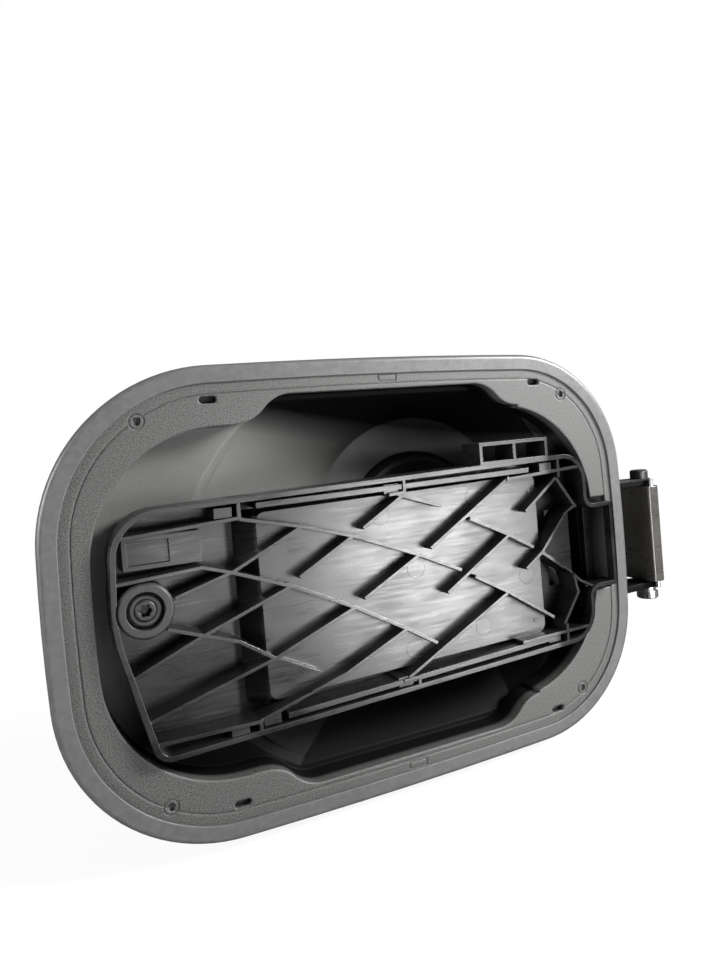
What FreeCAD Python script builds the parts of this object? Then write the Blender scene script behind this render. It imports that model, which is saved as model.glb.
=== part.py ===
"""Fuel filler housing: a flanged pocket with a soft edge seal and a ribbed door carrier on a
gooseneck hinge.

Frame, in millimetres: the origin lies midway between the four clip slots on the front face of
the flange. X runs towards the hinge, Y runs into the car and Z is up.
"""
import FreeCAD, Part
import math
import os
import re
import Sketcher

V = FreeCAD.Vector
doc = FreeCAD.newDocument("fuel_filler_housing")
sheet = doc.addObject("Spreadsheet::Sheet", "dims")

# Driving dimensions, each with a short note on what it sets.
DIMENSIONS = [
    # Flange and soft edge seal.
    ("flange_left", 139.0, "flange edge, from the origin to the latch side"),
    ("flange_right", 124.0, "flange edge, from the origin to the hinge side"),
    ("flange_half_height", 88.5, "flange edge, up and down"),
    ("flange_corner_left", 62.0, "corner radius on the latch side"),
    ("flange_corner_right", 54.0, "corner radius on the hinge side"),
    ("flange_side_bow", 5.0, "bulge of the two short sides"),
    ("flange_long_bow", 3.0, "bulge of the two long sides"),
    ("flange_thick", 2.6, "thickness of the flange plate"),
    ("seal_round", 2.0, "rounding of the seal's outer edges"),
    ("seal_reach", 4.4, "how far the seal stands out past the flange edge"),
    ("seal_lap", 2.6, "how far the seal laps over the flange edge"),
    ("seal_depth", 5.4, "height of the seal section"),
    ("seal_crown", 0.9, "seal standing proud of the flange face"),
    ("cutter_lead", 1.0, "how far a cutting shape runs past what it cuts"),
    ("slot_spacing_x", 156.0, "clip slots, along the flange"),
    ("slot_spacing_z", 157.2, "clip slots, up the flange"),
    ("slot_long", 7.0, "clip slot length"),
    ("slot_wide", 2.8, "clip slot width"),
    ("clip_depth", 11.0, "length of the snap hook behind each slot"),
    ("clip_thick", 2.0, "thickness of a snap hook"),
    # Pocket.
    ("mouth_left", 126.0, "pocket mouth on the latch side"),
    ("mouth_right", 108.0, "pocket mouth on the hinge side"),
    ("mouth_half_height", 68.5, "pocket mouth at its two ends"),
    ("mouth_corner", 50.0, "corner radius of the pocket mouth"),
    ("mouth_side_bow", 4.0, "bulge of the mouth's short sides"),
    ("mouth_long_bow", 0.5, "bulge of the mouth's long sides"),
    ("bulge_margin", 9.0, "flange left beyond the middle of the mouth"),
    ("bulge_half_length", 44.0, "flat part of the middle bulge"),
    ("bulge_shoulder", 24.0, "length of each shoulder of the bulge"),
    ("pocket_wall", 2.4, "wall of the pocket"),
    ("shelf_depth", 14.0, "depth of the latch shelf"),
    ("bowl_radius", 90.0, "rim of the bowl at shelf depth"),
    ("bowl_centre_x", -6.0, "centre of the bowl's rim"),
    ("bowl_hinge_gap", 4.0, "bowl's rim short of the mouth on the hinge side"),
    ("bowl_depth", 48.0, "depth of the bowl floor"),
    ("floor_radius", 57.0, "radius of the bowl floor"),
    ("neck_x", 35.0, "filler neck centre, along"),
    ("neck_z", 10.0, "filler neck centre, up"),
    ("neck_hole_radius", 40.0, "opening in the bowl floor"),
    ("groove_inset", 6.6, "fine groove from the flange edge"),
    ("groove_wide", 0.5, "width of that groove"),
    ("groove_deep", 0.3, "depth of that groove"),
    ("dimple_x_left", -105.1, "locating dimples on the latch side"),
    ("dimple_x_right", 93.9, "locating dimples on the hinge side"),
    ("dimple_z", 72.0, "locating dimples, up and down"),
    ("dimple_radius", 1.5, "hollow of a dimple"),
    ("gate_long", 9.0, "moulding gate pad, along"),
    ("gate_wide", 3.2, "moulding gate pad, up"),
    ("gate_z", 84.0, "moulding gate pads, up and down"),
    ("latch_hole_radius", 8.5, "striker opening in the latch shelf"),
    ("drain_radius", 4.0, "bore of the drain spout"),
    ("drain_back", 19.0, "drain spout from the neck centre, towards the latch"),
    ("drain_down", 47.9, "drain spout below the neck centre"),
    ("drain_length", 14.0, "length of the drain spout"),
    # Neck boot.
    ("boot_bore_radius", 27.0, "hole that grips the filler neck"),
    ("boot_ring_inset", 3.0, "raised ring of the boot inside the floor opening"),
    ("boot_ring_height", 4.0, "height of that ring"),
    ("boot_thick", 2.2, "wall of the boot"),
    ("boot_lip", 4.0, "boot flange that laps the floor"),
    # Hinge.
    ("hinge_x", 156.7, "hinge axis, along"),
    ("hinge_y", 15.0, "hinge axis, depth"),
    ("barrel_top", 20.4, "upper end of the hinge barrel"),
    ("barrel_bottom", -30.2, "lower end of the hinge barrel"),
    ("barrel_thick", 8.6, "thickness of the barrel block"),
    ("barrel_front", 10.0, "barrel block in front of the axis"),
    ("barrel_deep", 26.0, "depth of the barrel block"),
    ("barrel_round", 1.2, "rounded corners of the barrel block"),
    ("barrel_nose", 3.2, "rounding of its outer front corner"),
    ("ear_gap", 0.4, "play between the barrel and an ear"),
    ("ear_thick", 3.4, "thickness of a hinge ear"),
    ("ear_radius", 5.6, "rounded end of a hinge ear"),
    ("ear_root", 14.0, "root of a hinge ear inside the mouth's edge"),
    ("ear_front", 8.0, "front of a hinge ear inside the flange edge"),
    ("ear_bend", 4.0, "bend of a hinge ear inside the flange edge"),
    ("ear_seal_room", 2.0, "room between the seal and that bend"),
    ("pin_radius", 2.2, "hinge pin"),
    ("pin_clear", 0.05, "running clearance round the pin"),
    ("bush_wall", 0.9, "wall of a hinge bush"),
    ("bush_length", 12.0, "length of a hinge bush"),
    ("pin_head_radius", 5.5, "lower head of the pin"),
    ("pin_head_height", 6.5, "height of that head"),
    ("pin_head_chamfer", 0.6, "chamfer of that head"),
    ("pin_head_step", 1.0, "step in that head's radius"),
    ("pin_head_neck", 2.925, "height of the narrower part of that head"),
    ("pin_cap_radius", 4.6, "cap on the upper end of the pin"),
    ("pin_cap_height", 4.8, "height of that cap"),
    ("pin_cap_chamfer", 0.7, "chamfer of that cap"),
    ("pin_cap_grip", 3.36, "length of the pin inside that cap"),
    ("press_play", 0.02, "play left in a press fit"),
    ("rod_radius", 1.4, "spring rod beside the pin"),
    ("rod_stand", 3.6, "spring rod standing out of the barrel"),
    ("rod_offset", 7.6, "spring rod in front of the hinge axis"),
    # Door carrier.
    ("rim_front", -5.0, "front edge of the carrier's rim"),
    ("carrier_left", 119.9, "carrier end on the latch side"),
    ("carrier_right", 101.0, "carrier end on the hinge side"),
    ("carrier_top_left", 39.4, "upper edge at the latch end"),
    ("carrier_top_right", 43.3, "upper edge at the hinge end"),
    ("carrier_low_left", -53.5, "lower edge at the latch end"),
    ("carrier_low_right", -47.0, "lower edge at the hinge end"),
    ("tray_end_lean", 1.4, "upper corner of the latch end, inwards"),
    ("tray_end_bulge", 0.9, "bulge of the latch end, outwards"),
    ("tray_end_level", -3.0, "height of that bulge"),
    ("tray_end_round", 60.0, "rounding of that bulge"),
    ("tray_foot_lean", 11.0, "lower corner of the latch end, inwards"),
    ("tray_round_top_left", 18.0, "upper corner at the latch end"),
    ("tray_round_low_left", 7.0, "lower corner at the latch end"),
    ("tray_round_low_right", 15.0, "lower corner at the hinge end"),
    ("tray_round_top_right", 13.0, "upper corner at the hinge end"),
    ("neck_root_round", 4.0, "inner corners where the neck leaves the tray"),
    ("neck_tip_round", 0.5, "corners at the neck's end"),
    ("neck_lap", 4.0, "neck of the tray past the inside of the gooseneck"),
    ("carrier_wall", 2.0, "rim wall of the carrier"),
    ("carrier_floor", 2.2, "floor of the carrier"),
    ("left_floor", 7.5, "depth of the floor at the latch end"),
    ("mid_floor", 1.8, "depth of the raised middle floor"),
    ("step_start", -73.0, "foot of the step in the floor"),
    ("step_end", -63.0, "top of the step in the floor"),
    ("mid_end", 75.5, "hinge end of the middle floor"),
    ("mid_top", 34.0, "upper edge of the middle floor"),
    ("mid_low", -41.5, "lower edge of the middle floor"),
    ("mid_skew", 2.0, "spread of those edges between the ends"),
    ("mid_slope", 1.5, "run of the middle floor's other flanks"),
    ("mid_corner", 4.0, "corners of the middle floor"),
    ("mid_wall", 1.32, "walls round the hollow behind the middle floor"),
    ("trough_start", 84.5, "latch end of the trough into the gooseneck"),
    ("trough_floor", 11.0, "depth of that trough"),
    ("rib_thick", 1.4, "thickness of a stiffening rib"),
    ("border_thick", 2.2, "walls between the middle floor and the clip channels"),
    ("ramp_run", 9.0, "length of the ramp at a rib's free end"),
    ("rib_drop", 0.8, "rib tops behind the rim's front edge"),
    ("neck_top", 17.8, "upper side of the gooseneck"),
    ("neck_bottom", -23.4, "lower side of the gooseneck"),
    ("arm_inner_radius", 46.0, "inside of the gooseneck, from the axis"),
    ("arm_outer_radius", 57.0, "outside of the gooseneck, from the axis"),
    ("neck_lip_reach", 5.7, "front lip of the neck beyond the inside of the gooseneck"),
    ("neck_lip_back", 0.7, "play between that lip and the flange face"),
    ("arm_wall", 2.4, "wall of the gooseneck"),
    ("arm_plate_short", 1.0, "flat plate of the gooseneck short of its outside"),
    ("slot_clear", 2.4, "room beside the gooseneck in the housing"),
    ("slot_inset", 7.0, "flange left outside the gooseneck's opening"),
    # Striker and holder loop.
    ("striker_x", -108.4, "striker, along"),
    ("striker_z", 3.0, "striker, up"),
    ("striker_ring", 10.4, "outer radius of the striker collar"),
    ("striker_bore", 7.0, "bore of the striker collar"),
    ("sleeve_bore", 4.2, "bore of the adjuster sleeve"),
    ("striker_play", 0.15, "fit between the striker's pieces"),
    ("socket_radius", 2.6, "driver socket in the striker pin"),
    ("socket_inner", 1.95, "radius of that socket between its lobes"),
    ("socket_deep", 4.5, "depth of that socket from the collar's face"),
    ("striker_tail", 22.0, "tip of the striker pin, depth"),
    ("striker_set_back", 0.6, "collar face behind the rim's front edge"),
    ("collar_chamfer", 0.8, "chamfer of the striker collar"),
    ("sleeve_set_back", 1.6, "adjuster sleeve behind the collar's face"),
    ("sleeve_chamfer", 1.4, "chamfer of the adjuster sleeve"),
    ("sleeve_tail", 1.0, "adjuster sleeve standing out behind the tray"),
    ("striker_head_back", 0.9, "striker pin's head behind the collar's face"),
    ("striker_head_chamfer", 0.6, "chamfer of that head"),
    ("striker_tip_long", 4.0, "tapered tip of the striker pin"),
    ("striker_tip_taper", 2.0, "how much that tip narrows"),
    ("pad_left", -114.5, "latch pad on the tray floor, outer end"),
    ("pad_right", -85.5, "latch pad, inner end"),
    ("pad_low", 17.4, "latch pad, lower side"),
    ("pad_high", 29.6, "latch pad, upper side"),
    ("pad_face", 0.4, "depth of the latch pad's face"),
    ("pad_step", 1.2, "recess in the latch pad"),
    ("pad_step_right", -97.5, "inner end of that recess"),
    ("pad_border", 1.8, "border of that recess"),
    ("loop_left", 41.0, "holder loop, latch side"),
    ("loop_right", 79.4, "holder loop, hinge side"),
    ("loop_top", 52.2, "top of the holder loop"),
    ("loop_deep", 14.0, "depth of the holder loop"),
    ("loop_wall", 1.6, "walls of the holder loop"),
    ("loop_root", 3.0, "foot of the holder loop below the tray's upper edge"),
]
for row, (alias, value, note) in enumerate(DIMENSIONS, start=1):
    sheet.set("A%d" % row, note)
    sheet.set("B%d" % row, str(value))
    sheet.setAlias("B%d" % row, alias)
doc.recompute()


def dim(alias):
    """Value of one named dimension."""
    return float(sheet.get(alias))


def bound(text):
    """Expression text with each dimension's name pointed at the sheet."""
    return re.sub(r"[a-z][a-z_]+", lambda match: "dims." + match.group(0), text)


def number(text):
    """Present value of an expression written with dimension names."""
    return float(sheet.evalExpression(bound(text)))


def bind(obj, prop, text):
    """Tie one property to the sheet."""
    obj.setExpression(prop, bound(text))


# Outlines, as edges in a flat (u, v) plane.

def unit(vector):
    return vector * (1.0 / vector.Length)


def meeting(a, ra, b, rb, towards):
    """The point at distance ra from a and rb from b that lies nearest to a given point."""
    span = (b - a).Length
    along = (ra * ra - rb * rb + span * span) / (2 * span)
    aside = math.sqrt(max(ra * ra - along * along, 0.0))
    axis = unit(b - a)
    side = V(-axis.y, axis.x, 0)
    points = [a + axis * along + side * aside, a + axis * along - side * aside]
    return min(points, key=lambda p: (p - towards).Length)


def bow_radius(chord, rise):
    return chord * chord / (8.0 * rise) + rise / 2.0


def bowed_outline(left, right, half, corner_left, corner_right, side_bow, long_bow, grow=0.0):
    """Four gently bowed sides joined by tangent round corners, grown by an even margin."""
    middle = (right - left) / 2.0
    long_radius = bow_radius(left + right, long_bow)
    side_radius = bow_radius(2 * half, side_bow)
    top_centre = V(middle, half - long_radius, 0)
    joints = []
    for sign, reach, corner in ((1, right, corner_right), (-1, left, corner_left)):
        side_centre = V(sign * (reach - side_radius), 0, 0)
        guess = V(sign * (reach - corner), half - corner, 0)
        centre = meeting(top_centre, long_radius - corner, side_centre, side_radius - corner, guess)
        on_top = top_centre + unit(centre - top_centre) * (long_radius + grow)
        on_side = side_centre + unit(centre - side_centre) * (side_radius + grow)
        bend = unit(unit(centre - top_centre) + unit(centre - side_centre))
        joints.append((on_top, centre + bend * (corner + grow), on_side, V(sign * (reach + grow), 0, 0)))

    def flip(point):
        return V(point.x, -point.y, 0)

    (top_r, mid_r, side_r, end_r), (top_l, mid_l, side_l, end_l) = joints
    crown = V(middle, half + grow, 0)
    return [
        Part.Arc(top_l, crown, top_r),
        Part.Arc(top_r, mid_r, side_r),
        Part.Arc(side_r, end_r, flip(side_r)),
        Part.Arc(flip(side_r), flip(mid_r), flip(top_r)),
        Part.Arc(flip(top_r), flip(crown), flip(top_l)),
        Part.Arc(flip(top_l), flip(mid_l), flip(side_l)),
        Part.Arc(flip(side_l), end_l, side_l),
        Part.Arc(side_l, mid_l, top_l),
    ]


def flange_outline(grow=0.0):
    return bowed_outline(
        dim("flange_left"), dim("flange_right"), dim("flange_half_height"),
        dim("flange_corner_left"), dim("flange_corner_right"),
        dim("flange_side_bow"), dim("flange_long_bow"), grow)


def mouth_outline(grow=0.0):
    return bowed_outline(
        dim("mouth_left"), dim("mouth_right"), dim("mouth_half_height"),
        dim("mouth_corner"), dim("mouth_corner"),
        dim("mouth_side_bow"), dim("mouth_long_bow"), grow)


def polygon(points):
    """Straight edges through (u, v) points, closed."""
    corners = [V(u, v, 0) for u, v in points]
    return [Part.LineSegment(a, b) for a, b in zip(corners, corners[1:] + corners[:1])]


def bulge_outline(grow=0.0):
    """Middle of the mouth: two level edges that meet the ends in smooth S-shaped shoulders."""
    flat = dim("bulge_half_length")
    run = dim("bulge_shoulder")
    low = dim("mouth_half_height") + grow
    high = (dim("flange_half_height") - dim("bulge_margin")) + grow
    rise = high - low
    radius = (run * run + rise * rise) / (4.0 * rise)
    turn = math.asin(run / 2.0 / radius)
    bend_u = radius * math.sin(turn / 2.0)
    bend_v = radius * (1.0 - math.cos(turn / 2.0))

    def shoulder(su, sv):
        foot = V(su * (flat + run), sv * low, 0)
        half_way = V(su * (flat + run / 2.0), sv * (low + rise / 2.0), 0)
        head = V(su * flat, sv * high, 0)
        lower = V(foot.x - su * bend_u, foot.y + sv * bend_v, 0)
        upper = V(head.x + su * bend_u, head.y - sv * bend_v, 0)
        return [(foot, lower, half_way), (half_way, upper, head)]

    def arcs(parts, backward=False):
        if backward:
            return [Part.Arc(c, b, a) for a, b, c in reversed(parts)]
        return [Part.Arc(a, b, c) for a, b, c in parts]

    def corner(su, sv):
        return V(su * (flat + run), sv * low, 0)

    def head(su, sv):
        return V(su * flat, sv * high, 0)

    return (
        arcs(shoulder(-1, 1)) + [Part.LineSegment(head(-1, 1), head(1, 1))]
        + arcs(shoulder(1, 1), True) + [Part.LineSegment(corner(1, 1), corner(1, -1))]
        + arcs(shoulder(1, -1)) + [Part.LineSegment(head(1, -1), head(-1, -1))]
        + arcs(shoulder(-1, -1), True) + [Part.LineSegment(corner(-1, -1), corner(-1, 1))])


def rounded_polygon(points):
    """Polygon of (u, v, radius) corners, each rounded by a tangent arc."""
    count = len(points)
    pieces = []
    for index, (u, v, radius) in enumerate(points):
        corner = V(u, v, 0)
        before = V(*points[index - 1][:2], 0)
        after = V(*points[(index + 1) % count][:2], 0)
        back = unit(before - corner)
        ahead = unit(after - corner)
        half_angle = back.getAngle(ahead) / 2.0
        reach = radius / math.tan(half_angle)
        start = corner + back * reach
        end = corner + ahead * reach
        inward = unit(back + ahead)
        middle = corner + inward * (radius / math.sin(half_angle) - radius)
        pieces.append((start, middle, end))
    edges = []
    for index, (start, middle, end) in enumerate(pieces):
        if (end - start).Length > 1e-6:
            edges.append(Part.Arc(start, middle, end))
        following = pieces[(index + 1) % count][0]
        if (following - end).Length > 1e-6:
            edges.append(Part.LineSegment(end, following))
    return edges


# Building blocks of the model tree.

FRONT = FreeCAD.Rotation(V(1, 0, 0), 90)
PLAN = FreeCAD.Rotation()


def sketch_on(name, edges, turn, place):
    """Free sketch of edges, turned to its plane, with its placement tied to the sheet."""
    sketch = doc.addObject("Sketcher::SketchObject", name + "_sketch")
    sketch.addGeometry(edges, False)
    sketch.Placement = FreeCAD.Placement(V(0, 0, 0), turn)
    for axis, text in place.items():
        bind(sketch, "Placement.Base." + axis, text)
    return sketch


def prism(name, edges, turn, start, length):
    """Extrusion into the car from a front outline, or upwards from a plan outline."""
    axis = "y" if turn is FRONT else "z"
    block = doc.addObject("Part::Extrusion", name)
    block.Base = sketch_on(name, edges, turn, {axis: start})
    block.DirMode = "Custom"
    block.Dir = V(0, 1, 0) if turn is FRONT else V(0, 0, 1)
    block.Solid = True
    bind(block, "LengthFwd", length)
    return block


def loft(name, first, second):
    """Solid between two sketches."""
    skin = doc.addObject("Part::Loft", name)
    skin.Sections = [first, second]
    skin.Solid = True
    skin.Ruled = True
    return skin


def fuse(name, parts):
    joined = doc.addObject("Part::MultiFuse", name)
    joined.Shapes = parts
    joined.Refine = True
    return joined


def common(name, parts):
    shared = doc.addObject("Part::MultiCommon", name)
    shared.Shapes = parts
    return shared


def cut(name, base, tool):
    rest = doc.addObject("Part::Cut", name)
    rest.Base = base
    rest.Tool = tool
    rest.Refine = True
    return rest


def rod(name, radius, length, place, axis):
    """Cylinder from a tied place, along Y or Z."""
    bar = doc.addObject("Part::Cylinder", name)
    bind(bar, "Radius", radius)
    bind(bar, "Height", length)
    turn = FreeCAD.Rotation(V(1, 0, 0), -90) if axis == "y" else FreeCAD.Rotation()
    bar.Placement = FreeCAD.Placement(V(0, 0, 0), turn)
    for key, text in place.items():
        bind(bar, "Placement.Base." + key, text)
    return bar


def box(name, sizes, place):
    """Block with its lengths and lowest corner tied to the sheet."""
    block = doc.addObject("Part::Box", name)
    for prop, text in zip(("Length", "Width", "Height"), sizes):
        bind(block, prop, text)
    for axis, text in zip("xyz", place):
        bind(block, "Placement.Base." + axis, text)
    return block


def turned(label, plane_role, points, place):
    """Turned piece: a closed profile of (radius, height) expressions spun about the upright axis."""
    body = doc.addObject("PartDesign::Body", label)
    body.Label = label
    plane = next(item for item in body.Origin.OriginFeatures if item.Role == plane_role)
    sketch = body.newObject("Sketcher::SketchObject", label + "_profile")
    sketch.AttachmentSupport = (plane, [""])
    sketch.MapMode = "FlatFace"
    corners = [V(number(u), number(v), 0) for u, v in points]
    for a, b in zip(corners, corners[1:] + corners[:1]):
        sketch.addGeometry(Part.LineSegment(a, b), False)
    count = len(points)
    for index, (u, v) in enumerate(points):
        following = (index + 1) % count
        sketch.addConstraint(Sketcher.Constraint("Coincident", index, 2, following, 1))
        for kind, text, tag in (("DistanceX", u, "radius"), ("DistanceY", v, "height")):
            name = "%s_%d" % (tag, index)
            place_of = corners[index].x if kind == "DistanceX" else corners[index].y
            row = sketch.addConstraint(Sketcher.Constraint(kind, -1, 1, index, 1, place_of))
            sketch.renameConstraint(row, name)
            bind(sketch, "Constraints." + name, text)
    spin = body.newObject("PartDesign::Revolution", label + "_spin")
    spin.Profile = sketch
    spin.ReferenceAxis = (sketch, ["V_Axis"])
    spin.Angle = 360
    for axis, text in place.items():
        bind(body, "Placement.Base." + axis, text)
    return body


# Pocket housing: flange, latch shelf, bowl, hinge ears and snap hooks in one moulding.

BOWL_TOP_SHARE = 0.98
BOWL_SHOULDER_SHARE = 0.7
EAR_BACK_SHARE = 0.9


def bowl_rim(grow):
    """Bowl's rim at shelf depth: a wide arc to the latch side and a fuller one to the hinge side."""
    level = (dim("flange_half_height") - dim("bulge_margin")) * BOWL_TOP_SHARE + grow
    centre = dim("bowl_centre_x")
    reach = dim("bowl_radius") + grow
    left = centre - math.sqrt(reach * reach - level * level)
    shoulder = (dim("mouth_right") - dim("bulge_half_length")) * BOWL_SHOULDER_SHARE
    right = dim("mouth_right") - shoulder
    far = dim("mouth_right") - dim("bowl_hinge_gap") + grow
    return [
        Part.Arc(V(left, -level, 0), V(centre - reach, 0, 0), V(left, level, 0)),
        Part.LineSegment(V(left, level, 0), V(right, level, 0)),
        Part.Arc(V(right, level, 0), V(far, 0, 0), V(right, -level, 0)),
        Part.LineSegment(V(right, -level, 0), V(left, -level, 0)),
    ]


def bowl_floor(grow):
    """Round floor of the bowl, in four arcs that answer to the rim's four edges."""
    centre = V(dim("neck_x"), dim("neck_z"), 0)
    radius = dim("floor_radius") + grow

    def at(degrees):
        angle = math.radians(degrees)
        return centre + V(math.cos(angle), math.sin(angle), 0) * radius

    return [Part.Arc(at(a), at(b), at(c)) for a, b, c in
            ((240, 180, 120), (120, 90, 60), (60, 0, -60), (300, 270, 240))]


def ear_outline():
    """Plan of a hinge ear: a gusset that narrows to a round end about the hinge axis."""
    axis = V(dim("hinge_x"), dim("hinge_y"), 0)
    radius = dim("ear_radius")
    root = dim("mouth_right") - dim("ear_root")
    front = V(dim("flange_right") - dim("ear_front"), dim("flange_thick"), 0)
    under_seal = V(dim("flange_right") - dim("ear_bend"), dim("seal_depth") + dim("ear_seal_room"), 0)
    back = V(root, dim("bowl_depth") * EAR_BACK_SHARE, 0)
    tip_front = axis + V(0, -radius, 0)
    tip_end = axis + V(radius, 0, 0)
    tip_back = axis + V(0, radius, 0)
    return [
        Part.LineSegment(V(root, dim("flange_thick"), 0), front),
        Part.LineSegment(front, under_seal),
        Part.LineSegment(under_seal, tip_front),
        Part.Arc(tip_front, tip_end, tip_back),
        Part.LineSegment(tip_back, back),
        Part.LineSegment(back, V(root, dim("flange_thick"), 0)),
    ]


def flange_relief(lead):
    """Fine groove inside the seal, four locating dimples with a ring round each, and two gate pads."""
    deep = lead + " + groove_deep"
    groove = cut("groove",
                 prism("groove_outer", flange_outline(-dim("groove_inset")), FRONT, "-" + lead, deep),
                 prism("groove_inner", flange_outline(-dim("groove_inset") - dim("groove_wide")), FRONT,
                       "-2 * " + lead, "3 * " + lead))
    marks = [groove]
    places = [(side, level) for side in ("dimple_x_left", "dimple_x_right") for level in (1, -1)]
    for index, (side, level) in enumerate(places):
        place = {"x": side, "y": "-" + lead, "z": "%d * dimple_z" % level}
        marks.append(rod("dimple_%d" % index, "dimple_radius", lead + " + flange_thick / 2", place, "y"))
        ring_out = rod("dimple_out_%d" % index, "dimple_radius * 2", deep, place, "y")
        ring_in = rod("dimple_in_%d" % index, "dimple_radius * 2 - groove_wide", "3 * " + lead, place, "y")
        marks.append(cut("dimple_ring_%d" % index, ring_out, ring_in))
    half = dim("gate_wide") / 2.0
    reach = dim("gate_long") / 2.0
    for index, level in enumerate((1, -1)):
        centre = level * dim("gate_z")
        rings = []
        for name, inset in (("gate_outer", 0.0), ("gate_inner", dim("groove_wide"))):
            across = reach - inset
            up = half - inset
            rings.append(rounded_polygon([
                (-across, centre - up, up / 2), (across, centre - up, up / 2),
                (across, centre + up, up / 2), (-across, centre + up, up / 2),
            ]))
        marks.append(cut("gate_mark_%d" % index,
                         prism("gate_outer_%d" % index, rings[0], FRONT, "-" + lead, deep),
                         prism("gate_inner_%d" % index, rings[1], FRONT, "-2 * " + lead, "3 * " + lead)))
    return marks


def pocket_housing():
    flange = prism("flange_plate", flange_outline(), FRONT, "0", "flange_thick")
    pan = prism("shelf_shell", mouth_outline(dim("pocket_wall")), FRONT, "0",
                "shelf_depth + pocket_wall")
    middle = prism("bulge_shell", bulge_outline(dim("pocket_wall")), FRONT, "0",
                   "shelf_depth + pocket_wall")
    bowl = loft("bowl_shell",
                sketch_on("bowl_shell_rim", bowl_rim(dim("pocket_wall")), FRONT,
                          {"y": "shelf_depth - pocket_wall"}),
                sketch_on("bowl_shell_floor", bowl_floor(dim("pocket_wall")), FRONT,
                          {"y": "bowl_depth + pocket_wall"}))
    upper_ear = prism("upper_ear", ear_outline(), PLAN, "barrel_top + ear_gap", "ear_thick")
    lower_ear = prism("lower_ear", ear_outline(), PLAN, "barrel_bottom - ear_gap - ear_thick",
                      "ear_thick")
    spout = rod("drain_spout", "drain_radius + pocket_wall", "drain_length + pocket_wall",
                {"x": "neck_x - drain_back", "y": "bowl_depth", "z": "neck_z - drain_down"},
                "y")
    hooks = []
    for index, (side, level) in enumerate(((-1, -1), (-1, 1), (1, -1), (1, 1))):
        hooks.append(box(
            "snap_hook_%d" % index,
            ("slot_long", "clip_depth", "clip_thick"),
            ("%d * slot_spacing_x / 2 - slot_long / 2" % side, "flange_thick / 2",
             "%d * (slot_spacing_z / 2 - slot_wide) - clip_thick / 2" % level)))
    outside = fuse("housing_outside", [flange, pan, middle, bowl, upper_ear, lower_ear, spout] + hooks)

    lead = "cutter_lead"
    pan_space = prism("shelf_space", mouth_outline(), FRONT, "-" + lead, "shelf_depth + " + lead)
    middle_space = prism("bulge_space", bulge_outline(), FRONT, "-" + lead, "shelf_depth + " + lead)
    bowl_space = loft("bowl_space",
                      sketch_on("bowl_space_rim", bowl_rim(0.0), FRONT, {"y": "shelf_depth - " + lead}),
                      sketch_on("bowl_space_floor", bowl_floor(0.0), FRONT, {"y": "bowl_depth"}))
    neck_hole = rod("neck_hole", "neck_hole_radius", "bowl_depth",
                    {"x": "neck_x", "y": "shelf_depth", "z": "neck_z"}, "y")
    latch_hole = rod("latch_hole", "latch_hole_radius", "shelf_depth * 2",
                     {"x": "striker_x", "y": "0", "z": "striker_z"}, "y")
    drain = rod("drain_bore", "drain_radius", "bowl_depth",
                {"x": "neck_x - drain_back", "y": "shelf_depth * 2", "z": "neck_z - drain_down"},
                "y")
    arm_slot = box("arm_slot",
                   ("arm_outer_radius - (hinge_x - flange_right) + slot_clear - slot_inset",
                    "bowl_depth * 2", "neck_top - neck_bottom + 2 * slot_clear"),
                   ("hinge_x - arm_outer_radius - slot_clear", "-" + lead, "neck_bottom - slot_clear"))
    pin_way = rod("pin_way", "pin_radius + pin_clear", "barrel_top - barrel_bottom + 4 * ear_thick",
                  {"x": "hinge_x", "y": "hinge_y", "z": "barrel_bottom - 2 * ear_thick"}, "z")
    slots = []
    for index, (side, level) in enumerate(((-1, -1), (-1, 1), (1, -1), (1, 1))):
        centre_x = side * dim("slot_spacing_x") / 2.0
        centre_z = level * dim("slot_spacing_z") / 2.0
        reach = dim("slot_long") / 2.0
        half = dim("slot_wide") / 2.0
        slots.append(prism("clip_slot_%d" % index, rounded_polygon([
            (centre_x - reach, centre_z - half, half), (centre_x + reach, centre_z - half, half),
            (centre_x + reach, centre_z + half, half), (centre_x - reach, centre_z + half, half),
        ]), FRONT, "-" + lead, "flange_thick + 2 * " + lead))
    spaces = fuse("housing_spaces", [pan_space, middle_space, bowl_space, neck_hole, latch_hole, drain,
                                     arm_slot, pin_way] + slots + flange_relief(lead))
    housing = cut("pocket_housing", outside, spaces)
    housing.Label = "pocket_housing"
    return housing


def perimeter_seal():
    """Soft lip moulded round the flange edge."""
    block = prism("seal_block", flange_outline(dim("seal_reach")), FRONT, "-seal_crown", "seal_depth")
    doc.recompute()
    ring = doc.addObject("Part::Fillet", "seal_ring")
    ring.Base = block
    ends = [index for index, edge in enumerate(block.Shape.Edges, start=1)
            if edge.BoundBox.YLength < 1e-3]
    ring.Edges = [(index, dim("seal_round"), dim("seal_round")) for index in ends]
    hollow = prism("seal_hollow", flange_outline(-dim("seal_lap")), FRONT, "-seal_crown - cutter_lead",
                   "seal_depth + 2 * cutter_lead")
    seat = prism("seal_seat", flange_outline(), FRONT, "0", "flange_thick")
    seal = cut("perimeter_seal", cut("seal_band", ring, hollow), seat)
    seal.Label = "perimeter_seal"
    return seal


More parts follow.
